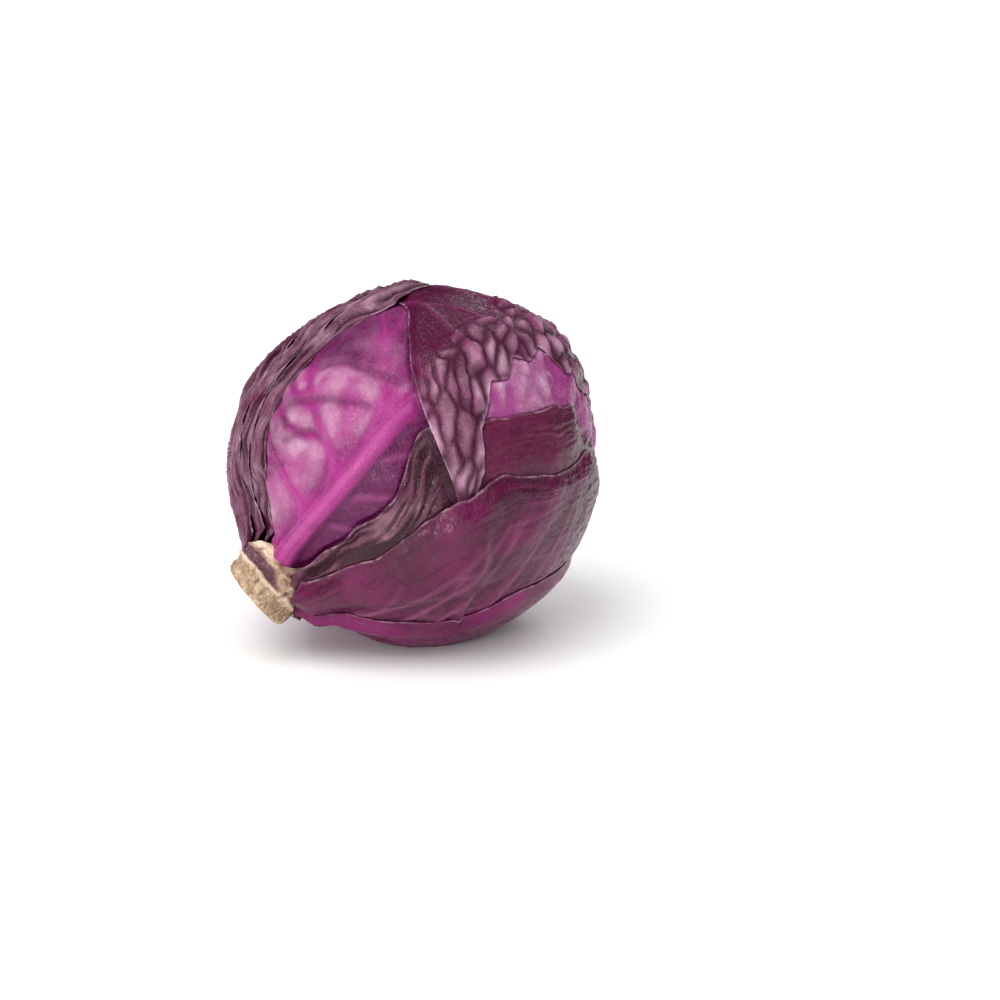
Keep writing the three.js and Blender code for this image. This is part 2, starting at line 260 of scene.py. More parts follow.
def heart_radius(dirs):
    """The inner head's radius in millimetres."""
    from_stem, azimuth = degrees_from(stem_axis, dirs), azimuth_of(dirs)
    radius = HEART_RADIUS * (1 - CROWN_STRETCH * np.cos(np.radians(from_stem)))
    depth = DIMPLE_SHALLOW + (DIMPLE_DEEP - DIMPLE_SHALLOW) * facing(azimuth, DIMPLE_SIDE)
    radius = radius + COLLAR * facing(azimuth, COLLAR_SIDE) ** 2 * hill(from_stem, COLLAR_SPREAD)
    radius = radius - depth * hill(from_stem, DIMPLE_SPREAD) + CROWN_BULGE * hill(180 - from_stem, BULGE_SPREAD)
    radius -= FLAT_SHOULDER * hill(degrees_from(shoulder, dirs), SHOULDER_SPREAD)
    low = dirs[:, 2] < -0.7
    if low.any():
        last = LEAVES[-1]
        x, _, share, _ = place_on(last, dirs[low])
        layers = stack_under(last["order"], dirs[low])[0] + blade(last, x, share, 1)
        flat = REST_PLANE / -dirs[low, 2] - layers
        mix = np.clip(0.5 + 0.5 * (radius[low] - flat) / REST_BLEND, 0, 1)
        radius[low] += (flat - radius[low]) * mix - REST_BLEND * mix * (1 - mix)
    return radius


def below_the_cut(radius, dirs, level):
    """Keeps what runs into the stem under a level of it, so that nothing comes out at its sawn end."""
    along = np.maximum(dirs @ stem_axis, 0.2)
    off_axis = radius * np.sqrt(np.maximum(0, 1 - along**2))
    return np.minimum(radius, (level + 3 * np.maximum(0, off_axis - STEM_CORE)) / along)


def room_above(order, dirs):
    """Millimetres that a leaf's own relief may rise: little where another leaf covers it, plenty in the open."""
    room = np.full(len(dirs), OPEN_ROOM)
    for above in LEAVES[order + 1 :]:
        outside = place_on(above, dirs)[3]
        deep_inside, clear = ease(-(outside + 7) / 4), ease((outside - 0.1) / 3.5)
        room = np.minimum(room, COVERED_ROOM + 0.5 * deep_inside + 8 * clear)
    return room


# %% [markdown]
# ## Noise and cells
#
# Leaves look grown because nothing on them repeats. A small lattice noise in numpy gives the same wobble on each
# run. Blisters are the cells of a jittered grid: each point looks for its two nearest seeds, and the cell's edge
# is where both are equally far.

# %% Noise and cells
def scatter(cells, seed):
    """A number from 0 to 1 for each whole-numbered cell, always the same."""
    h = np.full(cells.shape[0], seed * 7919 + 17, np.uint64)
    for axis in range(cells.shape[1]):
        whole = (cells[:, axis].astype(np.int64) + 100000).astype(np.uint64)
        h = (h ^ whole) * np.uint64(0x9E3779B1) % np.uint64(2**32)
        h = h ^ (h >> np.uint64(15))
    return (h % np.uint64(65536)).astype(float) / 65535


def noise(points, seed=0):
    """Smooth noise from -1 to 1 at points of any number of dimensions, about one bump per unit."""
    base = np.floor(points)
    part = points - base
    part = part**3 * (part * (part * 6 - 15) + 10)
    total = np.zeros(len(points))
    dims = points.shape[1]
    for corner in range(2**dims):
        bits = np.array([(corner >> d) & 1 for d in range(dims)])
        total += scatter(base + bits, seed) * np.prod(np.where(bits, part, 1 - part), axis=1)
    return total * 2 - 1


def rough_noise(points, seed=0, octaves=3):
    """The same with finer and finer bumps on it."""
    return sum(noise(points * 2**o, seed + o) / 2**o for o in range(octaves)) / 1.5


def cells(points, seed):
    """Distance from the nearest cell wall, about 0 to 0.5, and a number for the cell."""
    base = np.floor(points)
    near, second = np.full(len(points), 9.0), np.full(len(points), 9.0)
    own = np.zeros(len(points))
    for i in (-1, 0, 1):
        for j in (-1, 0, 1):
            cell = base + (i, j)
            seed_at = cell + np.stack([scatter(cell, seed), scatter(cell, seed + 50)], 1) * 0.8 + 0.1
            d = np.linalg.norm(points - seed_at, axis=1)
            closer = d < near
            second = np.where(closer, near, np.minimum(second, d))
            near = np.where(closer, d, near)
            own = np.where(closer, scatter(cell, seed + 90), own)
    return (second - near) / 2, own


# %% [markdown]
# ## Veins
#
# A cabbage leaf has a thick midrib, side veins that leave it at an angle and curve towards the tip, and forks
# near the margin. Each vein is a bent line in the leaf's flat degrees, with a half width and a height at both of
# its ends. The distance from the nearest vein then shapes the leaf, and also colours it later on.

# %% Vein lines
VEIN_ANGLE = 52  # degrees between the midrib and a side vein near the base
SKIRT = 3.2  # how far a vein's foot runs out, in its half widths
THINNEST = 1.05  # a vein's coloured mark is never narrower than this, or it would fall between the grid's points
FOLD_REACH = 11.0  # how far a crease's high side runs out, in degrees


def densify(line):
    """The same bent line, smoothed with four short legs for each long one."""
    line = np.asarray(line, float)
    t = np.linspace(0, 1, (len(line) - 1) * 4 + 1)
    return np.stack([through(line[:, 0], t), through(line[:, 1], t)], 1)


def near_line(flat, line):
    """Distance from a bent line, how far along it, and the side: positive on the left, looking along it."""
    pts = np.asarray(line, float)
    steps = np.linalg.norm(np.diff(pts, axis=0), axis=1)
    starts = np.concatenate([[0], np.cumsum(steps)])
    best, along, side = np.full(len(flat), 1e3), np.zeros(len(flat)), np.zeros(len(flat))
    for i, step in enumerate(steps):
        leg = pts[i + 1] - pts[i]
        t = np.clip((flat - pts[i]) @ leg / step**2, 0, 1)
        gap = flat - pts[i] - t[:, None] * leg
        d = np.hypot(gap[:, 0], gap[:, 1])
        closer = d < best
        best = np.where(closer, d, best)
        along = np.where(closer, (starts[i] + t * step) / starts[-1], along)
        side = np.where(closer, np.sign(leg[0] * gap[:, 1] - leg[1] * gap[:, 0]), side)
    return best, along, side


def feathered(leaf, seed, count=9):
    """A midrib's side veins: each is (line, half widths, heights)."""
    rng = np.random.default_rng(seed)
    veins = []
    start, end = leaf["base"] + 6, leaf["tip"] - 14
    for i in range(count):
        for side in (-1, 1):
            at = (i + 0.25 * side + rng.uniform(-0.15, 0.15)) / (count - 1)
            y, x = start + (end - start) * np.clip(at, 0, 1) ** 1.1, 0.0
            lean = VEIN_ANGLE + rng.uniform(-5, 5) - 14 * at
            line = [(x, y)]
            for _ in range(14):
                x += side * 5 * math.sin(math.radians(lean))
                y += 5 * math.cos(math.radians(lean))
                lean += rng.uniform(-5, 2.2)
                line.append((x, y))
                rise = (y - leaf["base"]) / leaf["length"]
                if rise > 0.97 or abs(x) > half_width(leaf, np.array(rise), np.array(x)) - 3:
                    break
            if len(line) < 3:
                continue
            size = 1 - 0.55 * at
            veins.append((line, (1.4 * size, 0.8), (0.9 * size, 0.25)))
            for fork in range(2, len(line) - 1, 3):
                fx, fy = line[fork]
                turn = lean + rng.choice((-34, 30)) + rng.uniform(-6, 6)
                branch = [(fx, fy)]
                for _ in range(rng.integers(3, 6)):
                    fx += side * 4 * math.sin(math.radians(turn))
                    fy += 4 * math.cos(math.radians(turn))
                    turn += rng.uniform(-6, 4)
                    branch.append((fx, fy))
                veins.append((branch, (0.85 * size, 0.65), (0.45 * size, 0.12)))
    return veins


def vein_relief(flat, veins):
    """Height of all veins together, how strongly each point belongs to one, and distance from the nearest."""
    height, mark = np.zeros(len(flat)), np.zeros(len(flat))
    nearest = np.full(len(flat), 99.0)
    for line, widths, heights in veins:
        lo, hi = np.min(line, axis=0) - 14, np.max(line, axis=0) + 14
        inside = np.all((flat > lo) & (flat < hi), axis=1)
        d, along, _ = near_line(flat[inside], line)
        wide, tall = through(widths, along), through(heights, along)
        if len(widths) > 2:  # a midrib: flat on top, steep at its sides
            bump = tall * (0.8 * np.exp(-((d / wide) ** 4)) + 0.2 * np.exp(-d / (wide * SKIRT)))
        else:
            bump = tall * (0.6 * hill(d, wide) + 0.4 * np.exp(-d / (wide * SKIRT)))
        height[inside] = (height[inside] ** 3 + bump**3) ** (1 / 3)
        own = hill(d, np.maximum(wide * 0.9, THINNEST)) * np.clip(tall / 0.8, 0.2, 1)
        mark[inside] = np.maximum(mark[inside], own)
        nearest[inside] = np.minimum(nearest[inside], d)
    return height, mark, nearest


def folds(flat, lines):
    """Creases where the blade is pushed together: high on the line's left side, a sharp drop on its right."""
    height, dark = np.zeros(len(flat)), np.zeros(len(flat))
    for line, tall in lines:
        d, along, side = near_line(flat, densify(line))
        ends = ease(along / 0.15) * ease((1 - along) / 0.15)
        signed = d * side
        scarp = ease((signed + 1.3) / 2.6) * hill(np.maximum(signed, 0), FOLD_REACH)
        hollow = 0.35 * ease(-signed / 1.5) * hill(np.minimum(signed, 0), FOLD_REACH * 0.6)
        height += tall * ends * (scarp - hollow)
        # painted shade just past the drop of each crease
        dark = np.maximum(dark, ends * hill(signed + 1.0, 1.5) * min(0.6, tall / 1.8))
    return height, dark


# %% [markdown]
# ## What is special about each leaf
#
# The bright front leaf has a thick midrib with broad branches, and creases where the blade was pushed together.
# The blistered leaf is smooth and dark over its first two thirds and puckered towards its tip. The leaves on the
# left are crumpled along their margins. One function per kind of leaf gives the relief in millimetres, and marks
# from 0 to 1 that the materials read: vein, bloom (the grey wax), tint (the leaf's second colour, which on the
# bright front leaf paints the shade right of the midrib) and a mark for painted shade, in creases, between
# blisters and wrinkles, and where another leaf lies close over this one.

# %% Relief of the bright front leaf
# the midrib in flat degrees, from base to tip; then each vein with its half widths and heights
RIB_LINE = [(14, -62), (14, -47.5), (10.7, -29), (7.4, -7.8), (5.9, 12), (4.8, 19.6), (4, 30), (4, 44), (3, 66)]
FRONT_VEINS = [
    (RIB_LINE, (5.4, 4.6, 3.9, 3.2, 2.5, 1.7, 1.2, 0.8), (4.4, 4.0, 3.4, 2.8, 2.1, 1.4, 0.8, 0.4)),
    ([(11, -32), (9, -12), (9, -2), (10.5, 7), (13, 16), (20, 26), (28, 35), (38, 43), (48, 52)],
     (2.1, 0.9), (1.4, 0.5)),
    ([(11.5, -34), (12, -20), (14, -13), (18, -8), (24, -4), (35, 1), (44, 9), (56, 22)], (1.7, 0.8), (1.2, 0.4)),
    ([(13.5, -46), (16, -34), (20, -30), (28, -28), (38, -25), (48, -20)], (1.6, 0.7), (1.2, 0.35)),
    ([(24, -4), (30, -9), (40, -11), (50, -8)], (1.5, 0.6), (0.4, 0.2)),
    ([(13, 16), (14, 26), (15, 36), (13, 50)], (2.0, 0.8), (0.5, 0.25)),
    ([(7, -6), (-2, 5), (-11, 14), (-21, 22), (-30, 34)], (1.6, 0.6), (0.6, 0.25)),
    ([(10, -24), (2, -15), (-8, -8), (-20, -1), (-32, 8)], (1.8, 0.6), (0.7, 0.25)),
    ([(13, -38), (5, -30), (-5, -25), (-17, -20), (-28, -12)], (1.8, 0.6), (0.7, 0.25)),
    ([(6, 10), (-2, 22), (-9, 34), (-15, 48)], (1.3, 0.5), (0.4, 0.2)),
    ([(20, 26), (18, 36), (19, 46), (24, 58)], (1.2, 0.5), (0.4, 0.2)),
    ([(35, 1), (45, 0), (56, 4)], (1.2, 0.5), (0.4, 0.2)),
    ([(28, 35), (30, 44), (36, 54)], (1.1, 0.5), (0.35, 0.2)),
    ([(38, -25), (44, -30), (50, -34)], (1.1, 0.5), (0.35, 0.2)),
]
FRONT_FOLDS = [
    ([(9, 27), (18, 25), (25, 22.5), (35, 21), (42, 15), (45, 10)], 2.1),
    ([(12, 14), (18, 13), (24, 10), (31, 7), (37, 3), (44, -2), (48, -9)], 1.7),
    ([(21, -6), (28, -5), (34, -9), (40, -18)], 1.0),
    ([(14, 31), (18, 35), (23, 35)], 0.5),
    ([(33, -22), (38, -27), (40, -34)], 0.5),
]
NODES = [(45, 10), (48, -10), (20, 26), (22, 10), (37, 3), (11, 16), (28, 35)]  # where creases meet veins


def front_relief(leaf, flat, edge, crumple):
    x, y = flat.T
    raised, vein, nearest = vein_relief(flat, FRONT_VEINS)
    creases, dark = folds(flat, FRONT_FOLDS)
    from_rib = x - np.interp(y, *np.array(RIB_LINE)[:, ::-1].T)
    glow = np.zeros(len(flat))
    for node in NODES:
        glow = np.maximum(glow, 0.8 * hill(np.hypot(*(flat - node).T), 4.5))
    facets = 0.8 * rough_noise(flat / 12, 3)
    bulge = 1.8 * ease(nearest / 8)
    grooves = hill(np.abs(from_rib) - 1.9, 0.5) * ease((6 - y) / 20)
    relief = raised + creases + facets + bulge * 0.5 + 0.4 * glow - 0.35 * grooves
    left = ease((from_rib - 3.5) / 5)
    patches = 0.88 + 0.75 * rough_noise(flat / 8, 11)
    bloom = left * ease((nearest + 0.1) / 3.6) * patches * (1 - glow)
    bloom *= 1 - 0.85 * hill(from_rib - 5, 6.5) * ease((10 - y) / 14)
    top_crease = np.interp(x, (9, 18, 25, 35, 42, 45), (27, 25, 22.5, 21, 15, 10))
    upper = ease((y - top_crease + 3.5) / 6)
    bloom = 0.85 * bloom * (1 - 0.85 * upper) + 0.25 * ease((x - 46) / 10) * (1 - upper)
    bloom += 0.45 * upper * hill(np.hypot((x - 25) / 1.8, y - 31), 5)
    # painted shade right of the midrib, in the second colour, where the blade turns away from the light; the top and
    # the lower left are also laid darker
    tint = ease((-from_rib - 2.6) / 2.2)
    streaks = rough_noise(np.stack([(x - y * 0.25) / 3.2, y / 17], 1), 19)
    top_dark = upper * (1 - 0.5 * hill(nearest, 3)) * (0.9 + 0.5 * streaks)
    low_dark = ease((x - 30) / 14) * ease((6 - y) / 18)
    low_dark *= 0.75 + 0.7 * rough_noise(flat / 7, 23)
    tint = np.maximum(tint, np.maximum(top_dark, low_dark) * ease((from_rib + 1) / 3))
    rib_pale = hill(from_rib, 3.4) * ease((30 - y) / 30)
    # painted shade along the midrib's right side
    rib_side_shade = hill(from_rib + 4.6 - 0.02 * y, 1.2) * ease((24 - y) / 12)
    vein = np.maximum(0.38 * vein, np.maximum(0.45 * glow, 0.7 * rib_pale)) * (1 - 0.5 * grooves)
    return relief, vein, bloom * (1 - 0.5 * dark), tint, np.maximum(dark, 0.8 * rib_side_shade)


# %% Relief of the other leaves
BLISTER_VEINS = [
    ([(0, -88), (-4, -50), (-8, -20), (-12, 4), (-20, 24), (-22, 39)], (1.6, 0.6), (0.9, 0.5)),
    ([(-8, -20), (-20, -6), (-32, 8), (-38, 24), (-33, 43)], (1.0, 0.5), (0.5, 0.4)),
    ([(-12, 4), (-6, 16), (-3, 28), (-4, 39)], (1.0, 0.5), (0.5, 0.5)),
    ([(-8, -20), (4, -2), (8, 14), (10, 28), (9, 43)], (1.1, 0.5), (0.6, 0.5)),
    ([(-4, -50), (14, -28), (22, -6), (26, 16), (24, 40)], (1.1, 0.5), (0.6, 0.3)),
    ([(22, -6), (34, 8), (42, 24), (46, 40)], (0.9, 0.4), (0.4, 0.3)),
    ([(-32, 8), (-42, 20), (-50, 34)], (0.8, 0.4), (0.4, 0.3)),
]


def swirl_of(flat):
    """Shifts that keep a cell pattern from looking like a grid."""
    return np.stack([noise(flat / 7, 2), noise(flat / 7, 7)], 1)


def blistered_relief(leaf, flat, edge, crumple):
    x, y = flat.T
    raised, vein, _ = vein_relief(flat, BLISTER_VEINS)
    sheen_line = 21 - 0.037 * np.maximum(x + 4, 0) ** 1.75
    puckered = ease((y - sheen_line) / 3)
    fan = np.stack([(x + 4) / (1 + np.maximum(y, 0) / 60), y + 0.25 * x], 1)
    swirl = 0.3 * swirl_of(flat)
    wall, own = cells(fan / (4.6, 7.8) + swirl, 5)
    small, _ = cells(flat / 3.4 + swirl, 9)
    crest = ease(wall / 0.42)
    blisters = crest * (0.5 + 0.7 * own) + 0.12 * ease(small / 0.3)
    relief = raised + puckered * (2.5 * blisters - 0.5) + (1 - puckered) * 0.35 * rough_noise(flat / 12, 4)
    step = hill(y - sheen_line - 0.3, 1.0) * ease((30 - np.abs(x + 8)) / 10)
    relief += 0.35 * step
    # grey bloom on the puckered part, heaviest on the blister crests, where it also paints their sheen; the last mark
    # is painted shade in the walls between the blisters
    bloom = puckered * (0.15 + 0.95 * crest) * (0.85 + 0.5 * noise(flat / 5, 14)) + 0.04 * (1 - puckered)
    return relief, vein * (0.3 + 0.5 * puckered), bloom, puckered, 0.8 * puckered * hill(wall, 0.11)


def crown_relief(leaf, flat, edge, crumple):
    raised, vein, nearest = vein_relief(flat, leaf["veins"])
    wall, _ = cells(flat / (6.5, 8) + 0.3 * swirl_of(flat), 15)
    puckers = ease(wall / 0.4)
    relief = 1.2 * raised + 0.8 * ease(nearest / 4) + 0.9 * puckers + 0.35 * rough_noise(flat / 10, 5)
    bloom = ease((nearest - 0.8) / 2.8) * (0.45 + 0.65 * puckers) * (0.95 + 0.5 * rough_noise(flat / 9, 8))
    return relief, 1.3 * vein, bloom, 0.5 + 0.8 * rough_noise(flat / 16, 2), np.zeros(len(flat))


def smooth_relief(leaf, flat, edge, crumple):
    raised, vein, nearest = vein_relief(flat, leaf["veins"])
    relief = raised + 0.4 * ease(nearest / 6) + 0.4 * rough_noise(flat / 11, 6) + 0.4 * crumple
    bloom = 0.5 * ease((nearest - 1) / 4) * (0.7 + 0.6 * rough_noise(flat / 7, 8))
    # the last mark is painted shade in the wrinkles' creases
    return relief, vein, bloom, 0.45 + rough_noise(flat / 14, 2), 0.5 * hill(crumple, 0.12)


def crumpled_relief(leaf, flat, edge, crumple):
    raised, vein, _ = vein_relief(flat, leaf["veins"])
    band = ease((30 - edge) / 18)
    relief = raised * 0.8 + 0.35 * rough_noise(flat / 9, 6) + band * 1.5 * crumple
    # grey bloom heaviest on the wrinkle ridges, partly painted highlight there; painted shade in the creases between
    # them
    bloom = (0.25 + 0.75 * crumple) * (0.8 + 0.6 * rough_noise(flat / 6, 8))
    dark = band * ease((0.5 - crumple) / 0.35)
    return relief, vein * (1 - 0.5 * band), bloom, 0.4 + rough_noise(flat / 10, 2), 0.9 * dark


def frilled_relief(leaf, flat, edge, crumple):
    x, y = flat.T
    relief, vein, bloom, _, dark = crumpled_relief(leaf, flat, edge, crumple)
    lobe = ease((y - 4) / 8) * ease((x - 4) / 10)
    relief = relief * (1 - 0.75 * lobe) + 0.5 * lobe * rough_noise(flat / 8, 4)
    return relief, vein * (1 - 0.6 * lobe), bloom * (1 - 0.85 * lobe), lobe, dark * (1 - lobe)


# %% [markdown]
# ## Growing one leaf
#
# The start is a grid primitive. Its vertices are laid on the ball at the height of the stack, with the relief
# added. The margin is pressed down on the leaf below, or lifted where it is frilled. Solidify gives the blade its
# thickness, thinner towards the margin through a vertex group. The marks are kept as point attributes, and so are
# the flat coordinates, so that the fine net of veins in the material follows the leaf and not the space round it.

# %% Mesh helpers
SMOOTH_ANGLE = 55  # degrees between faces up to which an edge is shaded smooth


def only_selected(piece):
    bpy.ops.object.select_all(action="DESELECT")
    piece.select_set(True)
    bpy.context.view_layer.objects.active = piece


def vertices_of(piece):
    co = np.empty(len(piece.data.vertices) * 3, np.float32)
    piece.data.vertices.foreach_get("co", co)
    return co.reshape(-1, 3).astype(float)


def fresh_piece(name):
    """Names the primitive that was just added, and gives its vertices."""
    piece = bpy.context.object
    piece.name = name
    return piece, vertices_of(piece)


def move_vertices(piece, points):
    """Moves the vertices to new places, in millimetres."""
    piece.data.vertices.foreach_set("co", np.asarray(points * MM, np.float32).ravel())
    piece.data.update()


def mark(piece, **marks):
    """Keeps numbers from 0 to 1 at the points, for the materials to read."""
    for name, values in marks.items():
        layer = piece.data.attributes.new(name, "FLOAT", "POINT")
        layer.data.foreach_set("value", np.clip(values, 0, 1).astype(np.float32))


def keep_flat(piece, coords):
    layer = piece.data.attributes.new("flat", "FLOAT_VECTOR", "POINT")
    layer.data.foreach_set("vector", coords.astype(np.float32).ravel())


def thicken(piece, thickness, offset, group=""):
    solid = piece.modifiers.new("blade", "SOLIDIFY")
    solid.thickness, solid.offset, solid.vertex_group = thickness * MM, offset, group
    only_selected(piece)
    bpy.ops.object.modifier_apply(modifier=solid.name)


def finish_piece(piece, material, node):
    piece.data.materials.append(material)
    only_selected(piece)
    bpy.ops.object.shade_smooth_by_angle(angle=math.radians(SMOOTH_ANGLE))
    if node:
        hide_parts(node)
    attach(piece, "root")
    piece.data.calc_loop_triangles()
    print(piece.name, len(piece.data.loop_triangles), "triangles")


# %% Grow a leaf
BLADE_THICK = 0.85  # millimetres in the middle of a leaf; its margin has under half of this
EDGE_HEIGHT = 0.55  # a margin's outer face over what it lies on
MOST_DROP = 3.0  # a margin doesn't reach further down than this, so no deep slots open between the leaves
RIM_WIDTH = 7  # degrees from the margin inwards that are pressed down
FLOOR_GAP = 0.4  # millimetres between the floor and every leaf but the outermost
LEAF_LEVEL = 75  # millimetres along the stem; leaf bases inside the stem end below it
THICKNESS_STEPS = 8


def crumple_of(leaf, flat, calm):
    """Wrinkles that run along the margin: 0 in the creases, 1 on the ridges."""
    x, y = flat.T
    u = calm / 1.75 + 1.5 * noise(flat / 17, 21) + 0.5 * noise(flat / 6, 22)
    v = np.stack([u, y / 21 + x / 50], 1)
    ridged = 1 - np.abs(noise(v, 31 + leaf["order"]) * 1.7)
    fine = 1 - np.abs(noise(v * (2.1, 1.7), 41 + leaf["order"]) * 1.6)
    return np.clip(0.72 * ridged + 0.34 * fine, 0, 1)


def grow(leaf, relief_of, cuts):
    bpy.ops.mesh.primitive_grid_add(x_subdivisions=cuts, y_subdivisions=cuts, size=2)
    piece, grid = fresh_piece(leaf["piece"])
    side, share = -grid[:, 0], (grid[:, 1] + 1) / 2
    side = np.sign(side) * (1 - (1 - np.abs(side)) ** 1.3)  # closer columns towards the margins
    wide = half_width(leaf, share, side)
    x = side * wide
    y = leaf["base"] + share * leaf["length"] - leaf["bowing"] * share**2 * x * x
    y += tip_wave(leaf, x) * share**6
    flat, dirs = np.stack([x, y], 1), lay(leaf, x, y)
    edge = np.minimum((1 - np.abs(side)) * wide, (1 - share) * leaf["length"])
    calm = np.where(side < 0, through(leaf["right"], share), through(leaf["left"], share)) - np.abs(x)
    relief, vein, bloom, tint, dark = relief_of(leaf, flat, edge, crumple_of(leaf, flat, calm))

    order, press = leaf["order"], leaf["press"]
    room = room_above(order, dirs)
    open_air = ease((room - 0.3) / 3)
    inner, beneath = stack_under(order, dirs)
    rim = press * ease(1 - edge / RIM_WIDTH)
    rest_on = np.maximum(beneath, inner - MOST_DROP)
    high = (inner + LAMINA) * (1 - rim) + (rest_on + EDGE_HEIGHT) * rim
    flutter = np.maximum(0, rough_noise(flat / 6, 61 + order)) * ease(1 - edge / 3.5)
    relief = np.minimum(relief, room) * (0.35 + 0.65 * open_air)
    relief = relief * (1 - (0.45 if press < 1 else 0.75) * rim) + (1 - press) * 2.2 * flutter * open_air
    radius = heart_radius(dirs) + high + relief
    floor_room = (REST_PLANE - (0 if leaf is LEAVES[-1] else FLOOR_GAP)) / np.maximum(-dirs[:, 2], 1e-3)
    radius = np.where(dirs[:, 2] < -0.2, np.minimum(radius, floor_room), radius)
    radius = below_the_cut(radius, dirs, LEAF_LEVEL)
    move_vertices(piece, dirs * radius[:, None] + (0, 0, REST_PLANE))

    # painted shade in creases and where another leaf lies close over this one; the margin mark is a light line along
    # the edge, partly the margin's paler colour and partly a painted highlight
    mark(piece, vein=vein, bloom=bloom * (0.35 + 0.65 * open_air), tint=tint,
         dark=np.maximum(dark * open_air, 0.6 * (1 - ease(room / 1.5))), margin=ease(1 - edge / 1.1))
    keep_flat(piece, np.column_stack([x, y, np.full(len(x), 10.0 * order)]))
    thick = piece.vertex_groups.new(name="thick")
    level = np.ceil((0.3 + 0.7 * ease(edge / 5)) * THICKNESS_STEPS)
    for step in range(1, THICKNESS_STEPS + 1):
        thick.add(np.nonzero(level == step)[0].tolist(), (step - 0.5) / THICKNESS_STEPS, "REPLACE")
    thicken(piece, BLADE_THICK, -1, "thick")
    piece.vertex_groups.clear()
    return piece


# %% [markdown]
# ## The skin of a red cabbage
#
# The blade is glossy and magenta to dark purple. A thin grey wax, the bloom, lies on it in patches and dulls both
# the colour and the gloss, and it is rubbed off along ridges. Veins are pinker. We could paint this, but a node
# material that mixes a few colours through the marks works at any distance. A Voronoi net on the flat coordinates
# adds the fine veins, noise on Object coordinates breaks up the patches, and both also drive the bump.

# %% Node helpers
class Finish:
    """A new material, with short ways to add nodes to it."""

    def __init__(self, name):
        self.material = bpy.data.materials.new(name)
        self.material.use_nodes = True
        self.tree = self.material.node_tree
        self.shader = self.tree.nodes["Principled BSDF"]
        self.here = self.node("TexCoord", {}, "Object")

    def node(self, kind, inputs, output=0, **settings):
        """Adds a node, sets it up, feeds its inputs with numbers, colours or other outputs, and gives its output."""
        node = self.tree.nodes.new("ShaderNode" + kind)
        for key, value in settings.items():
            setattr(node, key, value)
        for key, value in inputs.items():
            self.feed(value, node.inputs[key])
        return node.outputs[output]

    def feed(self, value, socket):
        if isinstance(value, bpy.types.NodeSocket):
            self.tree.links.new(value, socket)
        elif isinstance(value, tuple) and len(socket.default_value) == 4:
            socket.default_value = (*value, 1)
        else:
            socket.default_value = value

    def shade(self, **inputs):
        for key, value in inputs.items():
            self.feed(value, self.shader.inputs[key.replace("_", " ")])

    def mark(self, name):
        return self.node("Attribute", {}, "Fac", attribute_name=name)

    def calc(self, operation, *values):
        return self.node("Math", dict(enumerate(values)), operation=operation)

    def blend(self, factor, first, second):
        return self.node("Mix", {"Factor": factor, "A": first, "B": second}, "Result", data_type="RGBA")

    def coats(self, colour, *layers):
        """Lays colours over each other, each as strongly as its factor says, and gives the result to the shader."""
        for factor, over in layers:
            colour = self.blend(factor, colour, over)
        self.shade(Base_Color=colour)

    def spread(self, value, low, high, to_low=0.0, to_high=1.0):
        ends = {"From Min": low, "From Max": high, "To Min": to_low, "To Max": to_high}
        return self.node("MapRange", {"Value": value, **ends}, "Result", interpolation_type="SMOOTHSTEP")

    def noise(self, scale, detail=3, distortion=0.0):
        inputs = {"Vector": self.here, "Scale": scale, "Detail": detail, "Distortion": distortion}
        return self.node("TexNoise", inputs, "Fac")

    def net(self, coords, scale, width):
        """1 on the walls of a cell net, 0 inside the cells."""
        inputs = {"Vector": coords, "Scale": scale}
        walls = self.node("TexVoronoi", inputs, "Distance", feature="DISTANCE_TO_EDGE")
        return self.spread(walls, 0.0, width, 1.0, 0.0)

    def bump(self, height, strength, millimetres):
        inputs = {"Height": height, "Strength": strength, "Distance": millimetres * MM}
        self.shade(Normal=self.node("Bump", inputs, "Normal"))


# %% Leaf skin
LEAF_SHINE = 0.28  # low, so that dark leaves stay dark where they mirror a lamp


